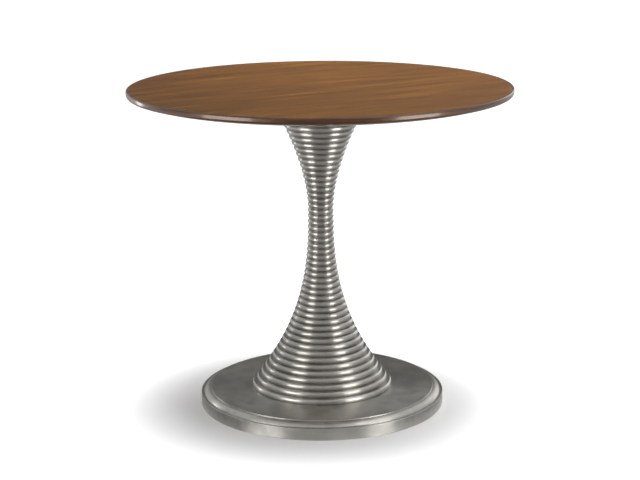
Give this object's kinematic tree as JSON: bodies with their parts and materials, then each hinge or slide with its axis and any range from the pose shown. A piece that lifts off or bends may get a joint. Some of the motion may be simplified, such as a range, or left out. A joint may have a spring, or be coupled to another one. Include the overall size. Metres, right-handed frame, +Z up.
{
  "type": "cafe table",
  "caption": "Round cafe table with a veneered wood top on an hourglass column of stacked metal rings and a heavy round metal base with levelling glides.",
  "frame": {"origin": "on the floor, under the centre of the base", "axes": "+Z up along the column, +X to the right of the pictured view, +Y away from the camera; the grain of the top runs 31 degrees from +X towards +Y"},
  "size_m": [0.8999, 0.9, 0.765],
  "materials": {
    "face_veneer": "satin lacquered walnut veneer",
    "edging": "satin lacquered solid wood",
    "core_board": "raw board",
    "backing_veneer": "thinly lacquered veneer",
    "pewter_rings": "brushed, warm pewter",
    "pewter_base": "brushed, warm pewter",
    "black_steel": "satin black powder coat",
    "plain_steel": "drawn tube, unfinished",
    "zinc_steel": "zinc plated",
    "turned_core": "raw turned wood",
    "ballast": "cast concrete",
    "glide_plastic": "moulded nylon"
  },
  "bodies": {
    "table": {"face_veneer": "face_veneer", "core_board": "core_board", "edging": "edging", "backing_veneer": "backing_veneer", "mounting_plate": "black_steel", "plate_screws": "zinc_steel", "column_tube": "plain_steel", "tie_rod": "zinc_steel", "tie_nuts": "zinc_steel", "tie_washers": "zinc_steel", "upper_core": "turned_core", "lower_core": "turned_core", "base_casting": "pewter_base", "ballast": "ballast", "base_cover": "black_steel", "cover_screws": "zinc_steel", "waist_rings_a": "pewter_rings", "waist_rings_b": "pewter_rings", "ring_01": "pewter_rings", "ring_02": "pewter_rings", "ring_03": "pewter_rings", "ring_04": "pewter_rings", "ring_05": "pewter_rings", "ring_06": "pewter_rings", "ring_07": "pewter_rings", "ring_08": "pewter_rings", "ring_09": "pewter_rings", "ring_10": "pewter_rings", "ring_11": "pewter_rings", "ring_12": "pewter_rings", "ring_13": "pewter_rings", "ring_14": "pewter_rings", "ring_15": "pewter_rings", "ring_16": "pewter_rings", "ring_17": "pewter_rings", "ring_36": "pewter_rings", "ring_37": "pewter_rings", "ring_38": "pewter_rings", "ring_39": "pewter_rings", "ring_40": "pewter_rings", "ring_41": "pewter_rings", "ring_42": "pewter_rings", "ring_43": "pewter_rings", "ring_44": "pewter_rings", "ring_45": "pewter_rings", "ring_46": "pewter_rings", "ring_47": "pewter_rings", "ring_48": "pewter_rings", "ring_49": "pewter_rings", "ring_50": "pewter_rings", "ring_51": "pewter_rings"},
    "glide_1": {"glide_stem_1": "zinc_steel", "glide_foot_1": "glide_plastic"},
    "glide_2": {"glide_stem_2": "zinc_steel", "glide_foot_2": "glide_plastic"},
    "glide_3": {"glide_stem_3": "zinc_steel", "glide_foot_3": "glide_plastic"},
    "glide_4": {"glide_stem_4": "zinc_steel", "glide_foot_4": "glide_plastic"}
  },
  "joints": [
    {"name": "glide_1_travel", "type": "slide", "parent": "table", "child": "glide_1", "axis": [0, 0, -1], "range_m": [0, 0.008]},
    {"name": "glide_2_travel", "type": "slide", "parent": "table", "child": "glide_2", "axis": [0, 0, -1], "range_m": [0, 0.008]},
    {"name": "glide_3_travel", "type": "slide", "parent": "table", "child": "glide_3", "axis": [0, 0, -1], "range_m": [0, 0.008]},
    {"name": "glide_4_travel", "type": "slide", "parent": "table", "child": "glide_4", "axis": [0, 0, -1], "range_m": [0, 0.008]}
  ]
}
